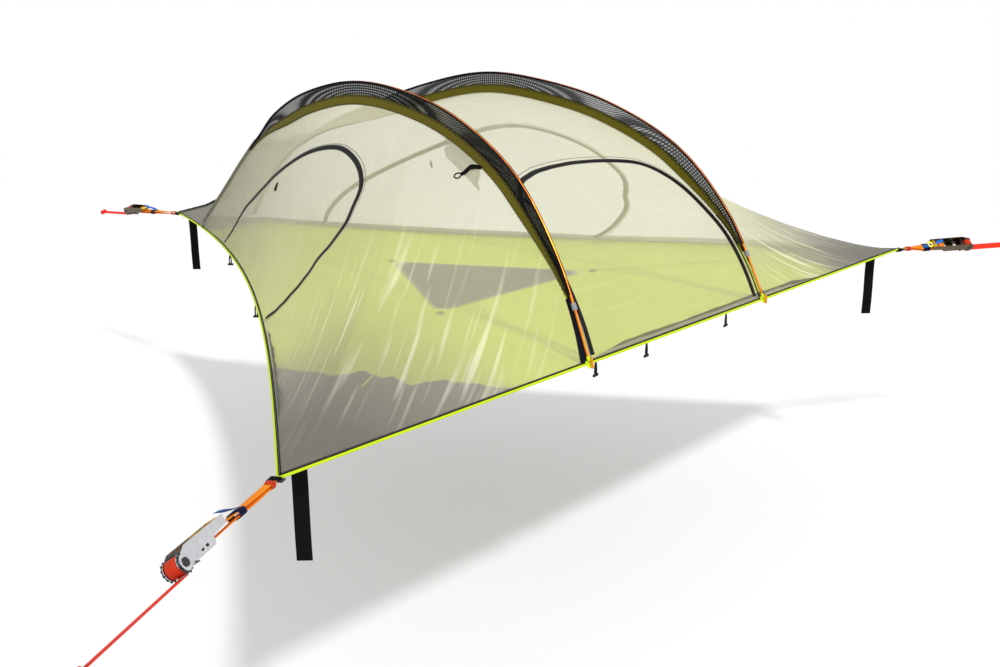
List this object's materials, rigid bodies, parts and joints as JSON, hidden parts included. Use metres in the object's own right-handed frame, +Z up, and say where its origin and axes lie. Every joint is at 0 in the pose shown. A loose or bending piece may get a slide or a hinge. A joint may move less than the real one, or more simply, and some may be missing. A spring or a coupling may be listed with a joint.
{
  "type": "tree tent",
  "caption": "Three-cornered tree tent: stretched floor with a hatch, mesh canopy with zipped doors on arched poles, and ratchet straps at its corners.",
  "frame": {"origin": "middle of the triangle of the hem, in the plane of the stretched floor", "axes": "+Z up; +Y towards the tail corner; X along the front side, +X to the right seen from behind the front"},
  "size_m": [5.705, 5.6524, 1.3231],
  "materials": {
    "black_pull": "satin",
    "black_ring": "satin",
    "black_toggle": "matt",
    "black_webbing": "woven matt",
    "bright_steel": "satin",
    "chrome_handle": "polished",
    "chrome_plate": "polished",
    "cream_mesh": "fine translucent mesh",
    "grey_clip": "satin",
    "grey_floor": "coated matt",
    "lime_binding": "woven matt",
    "lime_floor": "coated matt",
    "lime_pocket": "woven matt",
    "olive_sleeve": "woven matt",
    "orange_pole": "anodised satin",
    "orange_webbing": "woven matt"
  },
  "bodies": {
    "tent": {"arch_pole_left": "orange_pole", "arch_pole_right": "orange_pole", "canopy_left": "cream_mesh", "canopy_right": "cream_mesh", "canopy_roof": "cream_mesh", "canopy_tail": "cream_mesh", "corner_ring_front_left": "black_ring", "corner_ring_front_right": "black_ring", "corner_ring_tail": "black_ring", "floor_corner_front_left": "grey_floor", "floor_corner_front_right": "grey_floor", "floor_corner_tail": "grey_floor", "floor_panel": "lime_floor", "front_pocket_left": "lime_pocket", "front_pocket_right": "lime_pocket", "hanging_strap_front_left": "black_webbing", "hanging_strap_front_right": "black_webbing", "hanging_strap_tail": "black_webbing", "hem": "lime_binding", "pole_sleeve_left": "olive_sleeve", "pole_sleeve_right": "olive_sleeve", "ratchet_frame_front_left": "chrome_plate", "ratchet_frame_front_right": "chrome_plate", "ratchet_frame_tail": "chrome_plate", "sleeve_clip_left": "grey_clip", "sleeve_clip_right": "grey_clip", "sling_front_left": "orange_webbing", "sling_front_right": "orange_webbing", "sling_tail": "orange_webbing", "tree_strap_front_left": "orange_webbing", "tree_strap_front_right": "orange_webbing", "tree_strap_tail": "orange_webbing"},
    "front_door": {"front_door": "cream_mesh"},
    "left_door": {"left_door": "cream_mesh"},
    "right_door": {"right_door": "cream_mesh"},
    "floor_hatch": {"floor_hatch": "grey_floor"},
    "left_door_pull": {"left_door_pull": "black_pull"},
    "right_door_pull": {"right_door_pull": "black_pull"},
    "front_door_pull": {"front_door_pull": "black_pull"},
    "toggle_side_rear": {"toggle_side_rear": "black_toggle"},
    "toggle_side_front": {"toggle_side_front": "black_toggle"},
    "toggle_foot_left": {"toggle_foot_left": "black_toggle"},
    "toggle_door_left": {"toggle_door_left": "black_toggle"},
    "toggle_door_right": {"toggle_door_right": "black_toggle"},
    "spool_front_left": {"ratchet_spool_front_left": "bright_steel", "webbing_roll_front_left": "orange_webbing"},
    "handle_front_left": {"ratchet_handle_front_left": "chrome_handle"},
    "drive_pawl_front_left": {"drive_pawl_front_left": "bright_steel"},
    "lock_pawl_front_left": {"lock_pawl_front_left": "bright_steel"},
    "spool_front_right": {"ratchet_spool_front_right": "bright_steel", "webbing_roll_front_right": "orange_webbing"},
    "handle_front_right": {"ratchet_handle_front_right": "chrome_handle"},
    "drive_pawl_front_right": {"drive_pawl_front_right": "bright_steel"},
    "lock_pawl_front_right": {"lock_pawl_front_right": "bright_steel"},
    "spool_tail": {"ratchet_spool_tail": "bright_steel", "webbing_roll_tail": "orange_webbing"},
    "handle_tail": {"ratchet_handle_tail": "chrome_handle"},
    "drive_pawl_tail": {"drive_pawl_tail": "bright_steel"},
    "lock_pawl_tail": {"lock_pawl_tail": "bright_steel"}
  },
  "joints": [
    {"name": "front_door_hinge", "type": "hinge", "parent": "tent", "child": "front_door", "pos_m": [0, -1.32333, 0.02], "axis": [1, 0, 0], "range_deg": [0, 90]},
    {"name": "left_door_hinge", "type": "hinge", "parent": "tent", "child": "left_door", "pos_m": [-0.83222, 0.66269, 0.02], "axis": [-0.4724, -0.8814, 0], "range_deg": [0, 90]},
    {"name": "right_door_hinge", "type": "hinge", "parent": "tent", "child": "right_door", "pos_m": [0.83222, 0.66269, 0.02], "axis": [-0.4724, 0.8814, 0], "range_deg": [0, 90]},
    {"name": "floor_hatch_hinge", "type": "hinge", "parent": "tent", "child": "floor_hatch", "pos_m": [0, -0.36567, 0.001], "axis": [1, 0, 0], "range_deg": [0, 70]},
    {"name": "left_door_pull_swing", "type": "hinge", "parent": "left_door", "child": "left_door_pull", "pos_m": [-0.51929, 0.76615, 0.46112], "axis": [0.3897, 0.921, 0], "range_deg": [0, 120]},
    {"name": "right_door_pull_swing", "type": "hinge", "parent": "right_door", "child": "right_door_pull", "pos_m": [0.51929, 0.76615, 0.46112], "axis": [0.3897, -0.921, 0], "range_deg": [0, 120]},
    {"name": "front_door_pull_swing", "type": "hinge", "parent": "front_door", "child": "front_door_pull", "pos_m": [-0.46516, -0.83291, 0.55724], "axis": [-0.9773, -0.2118, 0], "range_deg": [0, 120]},
    {"name": "toggle_side_rear_swing", "type": "hinge", "parent": "tent", "child": "toggle_side_rear", "pos_m": [-0.47064, 1.33084, -0.0059], "axis": [0.4588, 0.8885, 0], "range_deg": [-40, 40]},
    {"name": "toggle_side_front_swing", "type": "hinge", "parent": "tent", "child": "toggle_side_front", "pos_m": [-0.98328, 0.33841, -0.0059], "axis": [0.4588, 0.8885, 0], "range_deg": [-40, 40]},
    {"name": "toggle_foot_left_swing", "type": "hinge", "parent": "tent", "child": "toggle_foot_left", "pos_m": [-0.59, -1.32333, -0.0059], "axis": [1, 0, 0], "range_deg": [-40, 40]},
    {"name": "toggle_door_left_swing", "type": "hinge", "parent": "tent", "child": "toggle_door_left", "pos_m": [-0.265, -1.32333, -0.0059], "axis": [1, 0, 0], "range_deg": [-40, 40]},
    {"name": "toggle_door_right_swing", "type": "hinge", "parent": "tent", "child": "toggle_door_right", "pos_m": [0.32, -1.32333, -0.0059], "axis": [1, 0, 0], "range_deg": [-40, 40]},
    {"name": "spool_front_left_turn", "type": "hinge", "parent": "tent", "child": "spool_front_left", "pos_m": [-2.56929, -1.65855, 0.04865], "axis": [0.4821, -0.6638, 0.5718], "continuous": true},
    {"name": "handle_front_left_hinge", "type": "hinge", "parent": "tent", "child": "handle_front_left", "pos_m": [-2.56929, -1.65855, 0.04865], "axis": [0.4821, -0.6638, 0.5718], "range_deg": [0, 120]},
    {"name": "drive_pawl_front_left_slide", "type": "slide", "parent": "handle_front_left", "child": "drive_pawl_front_left", "axis": [0.6296, 0.7163, 0.3008], "range_m": [0, 0.005], "stiffness_N_per_m": 400},
    {"name": "lock_pawl_front_left_slide", "type": "slide", "parent": "tent", "child": "lock_pawl_front_left", "axis": [0.8729, 0.3077, -0.3787], "range_m": [0, 0.005], "stiffness_N_per_m": 400},
    {"name": "spool_front_right_turn", "type": "hinge", "parent": "tent", "child": "spool_front_right", "pos_m": [2.41125, -1.55653, 0.00375], "axis": [0.4229, 0.665, 0.6156], "continuous": true},
    {"name": "handle_front_right_hinge", "type": "hinge", "parent": "tent", "child": "handle_front_right", "pos_m": [2.41125, -1.55653, 0.00375], "axis": [0.4229, 0.665, 0.6156], "range_deg": [0, 120]},
    {"name": "drive_pawl_front_right_slide", "type": "slide", "parent": "handle_front_right", "child": "drive_pawl_front_right", "axis": [-0.9028, 0.2501, 0.35], "range_m": [0, 0.005], "stiffness_N_per_m": 400},
    {"name": "lock_pawl_front_right_slide", "type": "slide", "parent": "tent", "child": "lock_pawl_front_right", "axis": [-0.6517, 0.6952, -0.3033], "range_m": [0, 0.005], "stiffness_N_per_m": 400},
    {"name": "spool_tail_turn", "type": "hinge", "parent": "tent", "child": "spool_tail", "pos_m": [0, 3.30416, -0.05752], "axis": [-0.9659, -0.0226, -0.2578], "continuous": true},
    {"name": "handle_tail_hinge", "type": "hinge", "parent": "tent", "child": "handle_tail", "pos_m": [0, 3.30416, -0.05752], "axis": [-0.9659, -0.0226, -0.2578], "range_deg": [0, 120]},
    {"name": "drive_pawl_tail_slide", "type": "slide", "parent": "handle_tail", "child": "drive_pawl_tail", "axis": [-0.1175, -0.8494, 0.5145], "range_m": [0, 0.005], "stiffness_N_per_m": 400},
    {"name": "lock_pawl_tail_slide", "type": "slide", "parent": "tent", "child": "lock_pawl_tail", "axis": [0.097, -0.9552, -0.2797], "range_m": [0, 0.005], "stiffness_N_per_m": 400}
  ]
}
